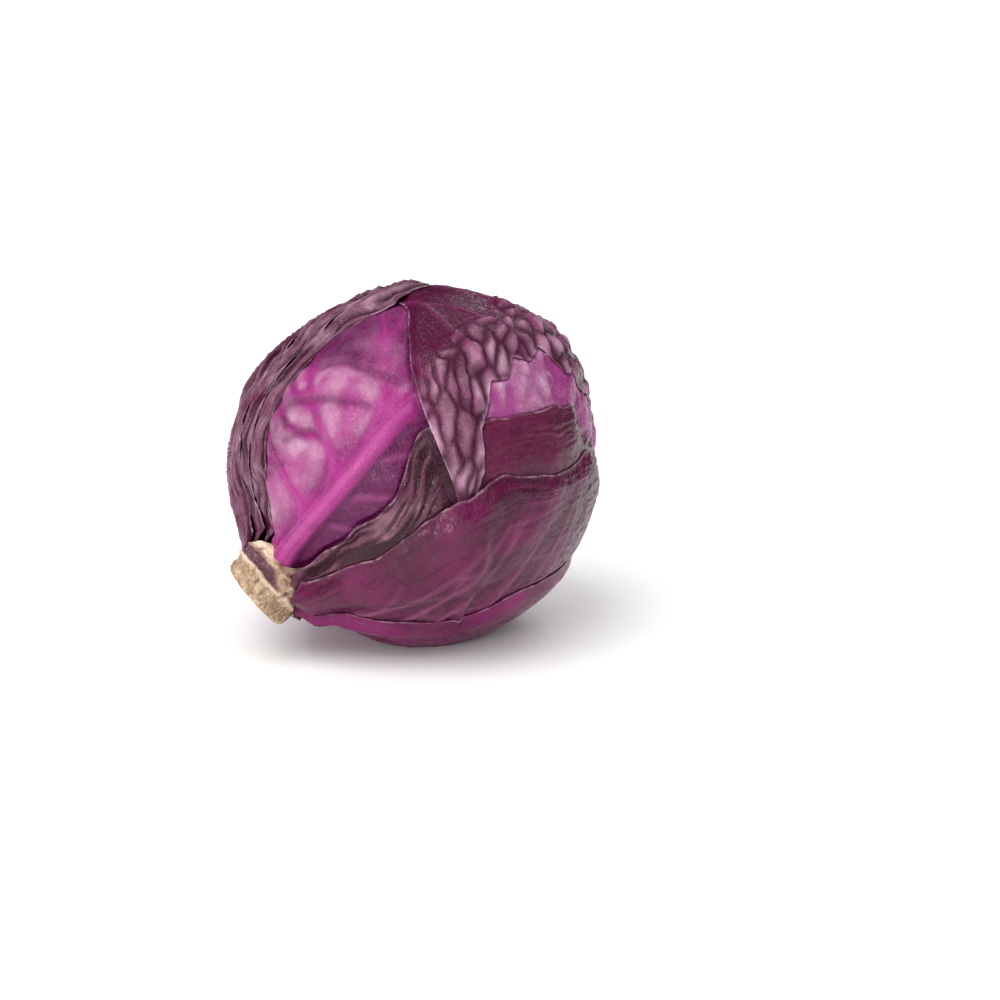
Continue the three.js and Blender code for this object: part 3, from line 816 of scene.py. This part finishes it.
def leaf_skin(name, flesh, second, bloom, vein, deep, net, gloss, wax=1.0, edge=(0.55, 0.32, 0.42)):
    skin = Finish(name)
    flat = skin.node("Attribute", {}, "Vector", attribute_name="flat")
    wobble = skin.node("TexNoise", {"Vector": flat, "Scale": 0.3, "Detail": 4}, "Color")
    winding = skin.node("VectorMath", {0: wobble, 1: (6, 6, 0), 2: flat}, operation="MULTIPLY_ADD")
    patches, streaks, grain = skin.noise(55, 4, 0.4), skin.noise(210, 4, 0.6), skin.noise(1400, 2)
    coarse_net, fine_net = skin.net(winding, 0.26, 0.06), skin.net(winding, 0.62, 0.13)
    on_net = skin.calc("MULTIPLY", coarse_net, 0.5 * net)
    on_fine = skin.calc("MULTIPLY", fine_net, 0.3 * net)

    waxed = skin.calc("MULTIPLY", skin.mark("bloom"), wax)
    waxed = skin.calc("MULTIPLY", waxed, skin.spread(patches, 0.3, 0.72, 0.35, 1.15))
    waxed = skin.calc("MULTIPLY", waxed, skin.spread(streaks, 0.35, 0.7, 0.8, 1.1))
    waxed = skin.calc("SUBTRACT", waxed, on_fine)
    # a light line along each margin: partly the margin's paler colour, partly a painted highlight
    rim = skin.calc("MULTIPLY", skin.mark("margin"), skin.spread(streaks, 0.42, 0.66, 0.08, 0.5))
    skin.coats(
        flesh,
        (skin.mark("tint"), second),
        (skin.spread(patches, 0.42, 0.66, 0.0, 0.45), deep),
        (waxed, bloom),
        (skin.calc("MAXIMUM", on_net, on_fine), vein),
        (skin.mark("vein"), vein),
        # painted shade: the deep colour laid where the mark for painted shade is high
        (skin.calc("MULTIPLY", skin.mark("dark"), 0.8), deep),
        (rim, edge),
    )
    rough = skin.calc("SUBTRACT", skin.spread(waxed, 0.0, 0.9, gloss, gloss + 0.2), 0.06)
    skin.shade(Roughness=skin.calc("MULTIPLY_ADD", grain, 0.12, rough), Specular_IOR_Level=LEAF_SHINE)
    height = skin.calc("MULTIPLY_ADD", coarse_net, 0.5, skin.calc("MULTIPLY", fine_net, 0.3))
    height = skin.calc("MULTIPLY_ADD", streaks, 0.7, height)
    skin.bump(skin.calc("MULTIPLY_ADD", grain, 0.18, height), 0.5, 0.5)
    return skin.material


# The deep colour darkens random patches and also paints shade. The bright front leaf's second colour is its flesh in
# painted shade. The edge colour is the light line along each margin, partly a paler margin and partly a painted
# highlight.
# flesh, second colour, bloom, veins and deep shade; then how much of the net shows, and the roughness
SKINS = {
    "bright_front_leaf": leaf_skin(
        "bright_skin", (0.27, 0.009, 0.155), (0.085, 0.002, 0.050), (0.49, 0.27, 0.38), (0.43, 0.07, 0.27),
        (0.05, 0.002, 0.028), 0.3, 0.28),
    "underside_leaf": leaf_skin(
        "underside_skin", (0.20, 0.004, 0.10), (0.13, 0.002, 0.06), (0.22, 0.06, 0.13), (0.28, 0.04, 0.16),
        (0.04, 0.001, 0.016), 0.08, 0.22, wax=0.5),
    "blistered_leaf": leaf_skin(
        "blistered_skin", (0.070, 0.001, 0.028), (0.085, 0.008, 0.038), (0.47, 0.24, 0.35), (0.28, 0.04, 0.16),
        (0.028, 0.001, 0.010), 0.18, 0.22, edge=(0.68, 0.46, 0.58)),
    "pale_crown_leaf": leaf_skin(
        "pale_skin", (0.22, 0.03, 0.14), (0.28, 0.07, 0.19), (0.52, 0.31, 0.43), (0.40, 0.03, 0.26),
        (0.10, 0.01, 0.05), 0.6, 0.26),
    "frilled_leaf": leaf_skin(
        "frilled_skin", (0.055, 0.006, 0.022), (0.10, 0.009, 0.040), (0.22, 0.095, 0.135), (0.13, 0.03, 0.07),
        (0.012, 0.001, 0.005), 0.2, 0.22),
    "dark_under_leaf": leaf_skin(
        "dark_skin", (0.065, 0.001, 0.024), (0.12, 0.002, 0.055), (0.14, 0.04, 0.075), (0.24, 0.06, 0.14),
        (0.016, 0.001, 0.006), 0.15, 0.20, wax=0.75),
}
MAUVE = leaf_skin(
    "mauve_skin", (0.085, 0.008, 0.038), (0.065, 0.003, 0.024), (0.34, 0.18, 0.245), (0.22, 0.06, 0.14),
    (0.016, 0.001, 0.006), 0.22, 0.27, edge=(0.60, 0.40, 0.48))
print(len(SKINS) + 1, "skins")

# %% [markdown]
# ## The wrapper leaves
#
# Now the loop grows all eleven leaves, from the inside out, each with its kind of relief and its skin.

# %% All leaves
KINDS = {
    "bright_front_leaf": front_relief,
    "blistered_leaf": blistered_relief,
    "pale_crown_leaf": crown_relief,
    "frilled_leaf": frilled_relief,
    "left_inner_leaf": crumpled_relief,
    "left_middle_leaf": crumpled_relief,
    "left_outer_leaf": crumpled_relief,
}
MOST_SEEN = ("bright_front_leaf", "blistered_leaf", "dark_under_leaf", "pale_crown_leaf")
FINE_GRID, PLAIN_GRID = 190, 150  # cuts each way, in the leaves that are seen most and in the others
for leaf in LEAVES:
    name = leaf["piece"]
    midrib = ([(0, leaf["base"]), (0, 0), (0, leaf["tip"] - 8)], (4.6, 2.2, 0.8), (leaf["rib"], 1.0, 0.4))
    leaf["veins"] = [midrib] + feathered(leaf, 100 + leaf["order"])
    piece = grow(leaf, KINDS.get(name, smooth_relief), FINE_GRID if name in MOST_SEEN else PLAIN_GRID)
    finish_piece(piece, SKINS.get(name, MAUVE), leaf["node"])

# %% [markdown]
# ## The closed head inside
#
# Inside the wrapper leaves the head is a firm ball of leaves that nobody can see between. A UV sphere is moved to
# the inner head's radius, with the edges of its outermost leaves as shallow steps that only go inwards. Round the
# stem, where the leaves' narrow bases leave gaps, it swells up until it nearly touches the lowest leaf over it.

# %% Inner head
FILL_BELOW = 3.6  # millimetres under the leaves' level where no leaf covers the inner head at all
STEPS_APART, STEP_TWIST, STEP_DEPTH = 72, 1.4, 0.9  # degrees round the stem, turn towards the crown, millimetres
HEAD_LEVEL = 70  # millimetres along the stem; the inner head ends below it inside the stem
bpy.ops.mesh.primitive_uv_sphere_add(segments=300, ring_count=190, radius=1)
heart, dirs = fresh_piece("closed_head")
dirs /= np.linalg.norm(dirs, axis=1)[:, None]
from_stem = degrees_from(stem_axis, dirs)
spiral = (np.degrees(azimuth_of(dirs)) + STEP_TWIST * from_stem) / STEPS_APART
steps = spiral - np.floor(spiral)
fill = stack_under(len(LEAVES), dirs)[0] - FILL_BELOW
for leaf in reversed(LEAVES):
    outside = place_on(leaf, dirs)[3]
    under = stack_under(leaf["order"], dirs)[0] - 0.7 - (MOST_DROP + 0.8) * ease(1 + outside / 7)
    fill = np.where(outside < 1.6, under, fill)
fill = np.maximum(fill, 0) * ease((42 - from_stem) / 14)
radius = heart_radius(dirs) - STEP_DEPTH * steps - 0.25 * (1 + noise(dirs * 9, 3)) + fill
radius = below_the_cut(radius, dirs, HEAD_LEVEL)
move_vertices(heart, dirs * radius[:, None] + (0, 0, REST_PLANE))
# painted shade at the foot of each step and in the filled gaps round the stem, and a light line along each step's
# edge, partly paler colour and partly a painted highlight
mark(heart, vein=hill(steps - 0.5, 0.05) * ease(from_stem / 40), bloom=0.5 + 0.4 * noise(dirs * 6, 5),
     tint=steps, dark=np.maximum(hill(steps, 0.06), np.clip(fill, 0, 0.8)), margin=hill(steps - 1, 0.03))
keep_flat(heart, dirs * 60)
finish_piece(heart, SKINS["pale_crown_leaf"], "inner_head")

# %% [markdown]
# ## The cut stem
#
# The stem was sawn off at a slant. Its skin has dried to tan cork, with the scars of lost leaves as swellings. A
# slab stands out below the cut, and a strip of purple skin is left in the groove behind its lip. The whole
# stub is one UV sphere whose rings are moved: the first ones form the sawn end, most form the wall, and the last
# few close the root. Working with azimuth and height makes it easy to put each scar where it belongs.

# %% Stem shape
STEM_RADIUS, STEM_FLATNESS = 16.4, 0.1
STEM_HEIGHTS = (58, 68, 72, 75, 79, 83, 86)
STEM_SHARES = (0.74, 0.76, 0.84, 0.96, 1.0, 1.02, 0.985)
STEM_TOP, STEM_FOOT = 86, 58  # millimetres from the head's middle to the sawn end and to the root
CUT_SLANT, CUT_LOW_SIDE, SLANT_START = 19, 193, 72  # degrees, azimuth, and millimetres from the head's middle
END, WALL = 0.3, 0.95  # shares of the way round from the sawn end's middle: the end's rim, and the wall's foot
# azimuth, half width in degrees, height, half height, and how far it stands out
STUMPS = ((80, 40, 73.5, 5.5, 4.4), (-22, 36, 76.0, 3, 1.6), (-116, 46, 73.5, 4, 2.8), (176, 46, 72.5, 4, 2.6))
GROOVE_AZIMUTHS, GROOVE_WIDTHS = (-12, 0, 30, 70, 118), (0.1, 1.2, 3.6, 4.2, 3.6)
LIP_HEIGHT = 78.0
CREAM_SIDE, SCAR_SIDE, HOLLOW_SIDE = 76, -24, -64  # azimuths


def turn_from(azimuth, where):
    return np.abs((azimuth - where + 540) % 360 - 180)


def stem_wall(azimuth, height):
    """Radius of the stem's wall in millimetres."""
    oval = 1 - STEM_FLATNESS * np.sin(np.radians(azimuth - CUT_LOW_SIDE)) ** 2
    radius = STEM_RADIUS * np.interp(height, STEM_HEIGHTS, STEM_SHARES) * oval
    for where, half, level, rise, out in STUMPS:
        around = ease(1.3 - 1.3 * turn_from(azimuth, where) / half)
        radius = radius + out * around * ease(1.4 - np.abs(height - level) / rise)
    return radius


def stem_point(radius, azimuth, height):
    """Millimetres in the stem's own directions; the slant tips the outer part of it."""
    lean = ease((height - SLANT_START) / (STEM_TOP - SLANT_START))
    uphill = -radius * np.cos(np.radians(azimuth - CUT_LOW_SIDE)) * math.tan(math.radians(CUT_SLANT))
    a = np.radians(azimuth)
    points = np.outer(radius * np.cos(a), front_axis) + np.outer(radius * np.sin(a), side_axis)
    return points + np.outer(height + uphill * lean, stem_axis) + (0, 0, REST_PLANE)


# %% Azimuth, height, and where each feature is
bpy.ops.mesh.primitive_uv_sphere_add(segments=260, ring_count=150, radius=1)
stem, ball = fresh_piece("cut_stem")
azimuth = np.degrees(np.arctan2(ball[:, 1], ball[:, 0]))
round_it = np.stack([np.cos(np.radians(azimuth)), np.sin(np.radians(azimuth))], 1)
t = np.degrees(np.arccos(np.clip(ball[:, 2], -1, 1))) / 180
on_end = t < END
height = np.interp(t, (0, END, WALL, 1), (STEM_TOP, STEM_TOP, STEM_FOOT, STEM_FOOT))
across = np.interp(t, (0, END, WALL, 1), (0, 1, 1, 0))
where = np.column_stack([round_it * 2.4, height / 6.5])

lip = LIP_HEIGHT + 0.6 * np.sin(np.radians(azimuth * 2 + 40)) + 0.5 * noise(where * 1.4, 3)
over_lip = height - lip
slab = ease(over_lip / 1.0)
wide = np.interp(azimuth, GROOVE_AZIMUTHS, GROOVE_WIDTHS) + 0.5 * noise(where * 1.3, 9)
groove = ease((lip - height + 0.2) / 0.6) * ease((over_lip + wide) / 0.9)
purple_side = ease((azimuth + 12) / 14) * ease((132 - azimuth) / 18)
cream_side = ease(1.6 - turn_from(azimuth, CREAM_SIDE) / 34) * ease((lip - wide - height) / 0.8)
scar = ease(1.5 - turn_from(azimuth, SCAR_SIDE) / 42)
scar *= ease((lip - np.maximum(wide, 0.8) - height) / 1.0)
cork = rough_noise(where * 2.2, 12, 4)
pits = np.maximum(0, rough_noise(where * (3.2, 3.2, 2.0), 33) - 0.25)
hollow = hill(turn_from(azimuth, HOLLOW_SIDE), 11) * hill(height - 76.5, 2.6)

# %% Shape the stem
wall = stem_wall(azimuth, height) + scar * 1.5 * ease((height - 62) / 5) + slab * 0.7
wall += hill(over_lip - 0.5, 0.9) * 0.9 - groove * purple_side * 1.1
wall += 0.75 * cork * (1 - 0.6 * cream_side) - 2.2 * pits * slab - 3.2 * hollow
wall -= ease((height - 84.6) / 1.4) * 1.1
radius = across * wall
dip = 1.3 * ease((0.62 - across) / 0.4) - 0.5 * hill(across - 0.74, 0.07)
cracks, _ = cells(np.stack([azimuth / 22, across * 2.2], 1), 8)
split = hill(cracks, 0.05) * ease((across - 0.15) / 0.2) * ease((0.97 - across) / 0.1) * on_end
rough_end = 0.5 * rough_noise(round_it * radius[:, None] / 2.4, 6)
sunk = on_end * (dip - rough_end * 0.6 + 0.7 * split)
specks = 0.5 * scar * ease(noise(where * 1.7, 77) * 2 - 0.2)
move_vertices(stem, stem_point(radius, azimuth, height) - np.outer(sunk, stem_axis))
# the pit mark is painted shade in the pits, the hollow and the sawn end's cracks, and the real dark specks on the
# scar
mark(stem,
     cream=np.where(on_end, 0.35 * ease((0.7 - across) / 0.2), cream_side),
     purple=np.where(on_end, 0, groove * purple_side),
     lip=np.where(on_end, 0.6 * hill(across - 0.74, 0.06), hill(over_lip - 0.5, 0.5)),
     pit=np.maximum(np.maximum(pits * 2.2, hollow), split) + specks,
     root=np.where(on_end, 0, ease((66.0 - height) / 3)))

# %% [markdown]
# ## Cork, skin and cut flesh
#
# The cork is tan, mottled from cream to brown, dull and finely cracked. The same material turns purple in the
# groove and cream where a leaf stalk was cut, through the marks made above.

# %% Stem material
TAN, BROWN, CREAM = (0.34, 0.20, 0.115), (0.13, 0.065, 0.035), (0.92, 0.78, 0.58)


def cork_skin(name):
    skin = Finish(name)
    blotch, fleck = skin.noise(260, 5, 0.8), skin.noise(1100, 4, 0.3)
    crack = skin.net(skin.here, 420, 0.12)
    skin.coats(
        TAN,
        (skin.spread(blotch, 0.38, 0.68), (0.55, 0.42, 0.28)),
        (skin.spread(fleck, 0.5, 0.75, 0, 0.7), BROWN),
        (skin.calc("MULTIPLY", crack, 0.25), BROWN),
        (skin.mark("lip"), (0.74, 0.56, 0.44)),
        (skin.mark("purple"), skin.blend(skin.spread(fleck, 0.4, 0.7), (0.085, 0.022, 0.04), (0.22, 0.10, 0.13))),
        (skin.mark("cream"), skin.blend(skin.spread(blotch, 0.35, 0.7), CREAM, (0.70, 0.52, 0.36))),
        # dark brown: painted shade in the pits, hollow and cracks; real specks on the scar and the dried flake's own
        # colour
        (skin.mark("pit"), (0.10, 0.05, 0.035)),
        (skin.mark("root"), (0.16, 0.03, 0.07)),
    )
    skin.shade(Roughness=skin.spread(blotch, 0.3, 0.7, 0.62, 0.85))
    height = skin.calc("MULTIPLY_ADD", blotch, 1.0, skin.calc("MULTIPLY", fleck, 0.5))
    skin.bump(skin.calc("SUBTRACT", height, skin.calc("MULTIPLY", crack, 0.35)), 0.7, 0.6)
    return skin.material


CORK = cork_skin("dried_cork")
finish_piece(stem, CORK, "stem_stub")

# %% [markdown]
# ## Two scraps on the stem
#
# A trimmed head keeps a few torn bits: here a dried, nearly black flake at the lower rim of the slab, and a purple
# stub of a leaf stalk beside it. Each is a small grid, rolled up along its length and thickened. It begins a
# little inside the stem, so that it doesn't hang in the air.

# %% Scraps
SCRAP_THICK = 0.55
SUNK_IN = 1.5  # millimetres inside the stem's wall where a scrap begins


def scrap(name, azimuth, radius, height, long, wide, roll, rise, **coats):
    """Sizes in millimetres: where it leaves the stem, how long and wide it is, and how it rolls and rises."""
    bpy.ops.mesh.primitive_grid_add(x_subdivisions=26, y_subdivisions=34, size=2)
    piece, grid = fresh_piece(name)
    across, along = grid[:, 0], (grid[:, 1] + 1) / 2
    torn = 1 + 0.25 * noise(np.stack([along * 5, across * 2], 1), 5)
    narrow = (1 - 0.75 * along**1.6) * torn
    bend = across * roll * (0.5 + 0.5 * along)
    sideways = wide * narrow * np.sin(bend) / roll * 1.4
    lift = wide * (1 - np.cos(bend)) / roll + rise * along**1.5 + 0.25 * noise(grid[:, :2] * 3, 8)
    a = math.radians(azimuth)
    out = front_axis * math.cos(a) + side_axis * math.sin(a)
    around = side_axis * math.cos(a) - front_axis * math.sin(a)
    base = out * (radius - SUNK_IN) + stem_axis * height + (0, 0, REST_PLANE)
    move_vertices(piece, base + np.outer(along * long, out) + np.outer(sideways, around) + np.outer(lift, stem_axis))
    for coat in ("cream", "purple", "lip", "pit", "root"):
        mark(piece, **{coat: coats.get(coat, 0.0) * (0.8 + 0.2 * torn)})
    thicken(piece, SCRAP_THICK, 0)
    finish_piece(piece, CORK, None)


scrap("dried_flake", -84, 15.5, 78.0, 5.0, 2.4, 1.1, -1.5, pit=1.0)
scrap("stalk_stub", -66, 15.0, 72.5, 8.0, 3.2, 0.9, -3.0, purple=1.0, lip=0.2)

# %% [markdown]
# ## Floor, light and camera
#
# A white floor with broad light from above. The sun lamp has a very wide angle, so that shadows are soft and the
# floor is evenly bright right to the horizon. Two area lamps, one in front and one behind, give the leaves their
# gloss, and the white world is kept out of mirror reflections, because it would lay a grey haze over the dark
# leaves. The camera looks down by 15 degrees, from 1.25 metres away.

# %% Floor
bpy.ops.mesh.primitive_grid_add(x_subdivisions=4, y_subdivisions=4, size=14)
floor = bpy.context.object
floor.name = "floor"
white = Finish("matt_white_floor")
white.coats((0.93, 0.93, 0.93), (white.spread(white.noise(6), 0.3, 0.7), (0.95, 0.95, 0.95)))
white.shade(Roughness=0.6, Specular_IOR_Level=0.25)
floor.data.materials.append(white.material)

# %% Light
world = bpy.data.worlds.new("studio")
bpy.context.scene.world = world
world.use_nodes = True
background = world.node_tree.nodes["Background"]
background.inputs["Color"].default_value = (1, 1, 1, 1)
background.inputs["Strength"].default_value = 0.88
world.cycles_visibility.glossy = False


def lamp(name, kind, where, aim, energy, **settings):
    data = bpy.data.lights.new(name, kind)
    data.energy = energy
    for key, value in settings.items():
        setattr(data, key, value)
    light = bpy.data.objects.new(name, data)
    bpy.context.collection.objects.link(light)
    light.location = where
    light.rotation_euler = (Vector(aim) - Vector(where)).to_track_quat("-Z", "Y").to_euler()


head_middle = (0, 0, REST_PLANE * MM)
lamp("key", "SUN", (-0.62, -0.62, 1.5), head_middle, 1.7, angle=math.radians(50))
lamp("front_fill", "AREA", (-0.75, -1.3, 0.35), head_middle, 8.0, shape="RECTANGLE", size=0.6, size_y=0.4)
lamp("back_softbox", "AREA", (0.5, 0.9, 1.0), head_middle, 2.5, shape="RECTANGLE", size=0.9, size_y=0.5)

# %% Camera
ELEVATION, FAR = math.radians(15), 1.25
MM_PER_DOT, DOTS = 0.4085, 1000  # scale at the head, for an image that is 1000 wide and high
HEAD_AT = (411.5, 464.5)  # where the head's middle comes in that image
SENSOR = 36  # millimetres
up = Vector((0, math.sin(ELEVATION), math.cos(ELEVATION)))
toward = Vector((0, -math.cos(ELEVATION), math.sin(ELEVATION)))
look = Vector(head_middle) + Vector((1, 0, 0)) * ((DOTS / 2 - HEAD_AT[0]) * MM_PER_DOT * MM)
look -= up * ((DOTS / 2 - HEAD_AT[1]) * MM_PER_DOT * MM)
camera_data = bpy.data.cameras.new("camera")
camera_data.sensor_width = SENSOR
camera_data.lens = SENSOR * FAR / (DOTS * MM_PER_DOT * MM)
camera_data.clip_end = 50
camera = bpy.data.objects.new("camera", camera_data)
bpy.context.collection.objects.link(camera)
camera.location = look + toward * FAR
camera.rotation_euler = toward.to_track_quat("Z", "Y").to_euler()
bpy.context.scene.camera = camera
bpy.context.scene.view_settings.view_transform = "Standard"
print("lens", round(camera_data.lens, 1))
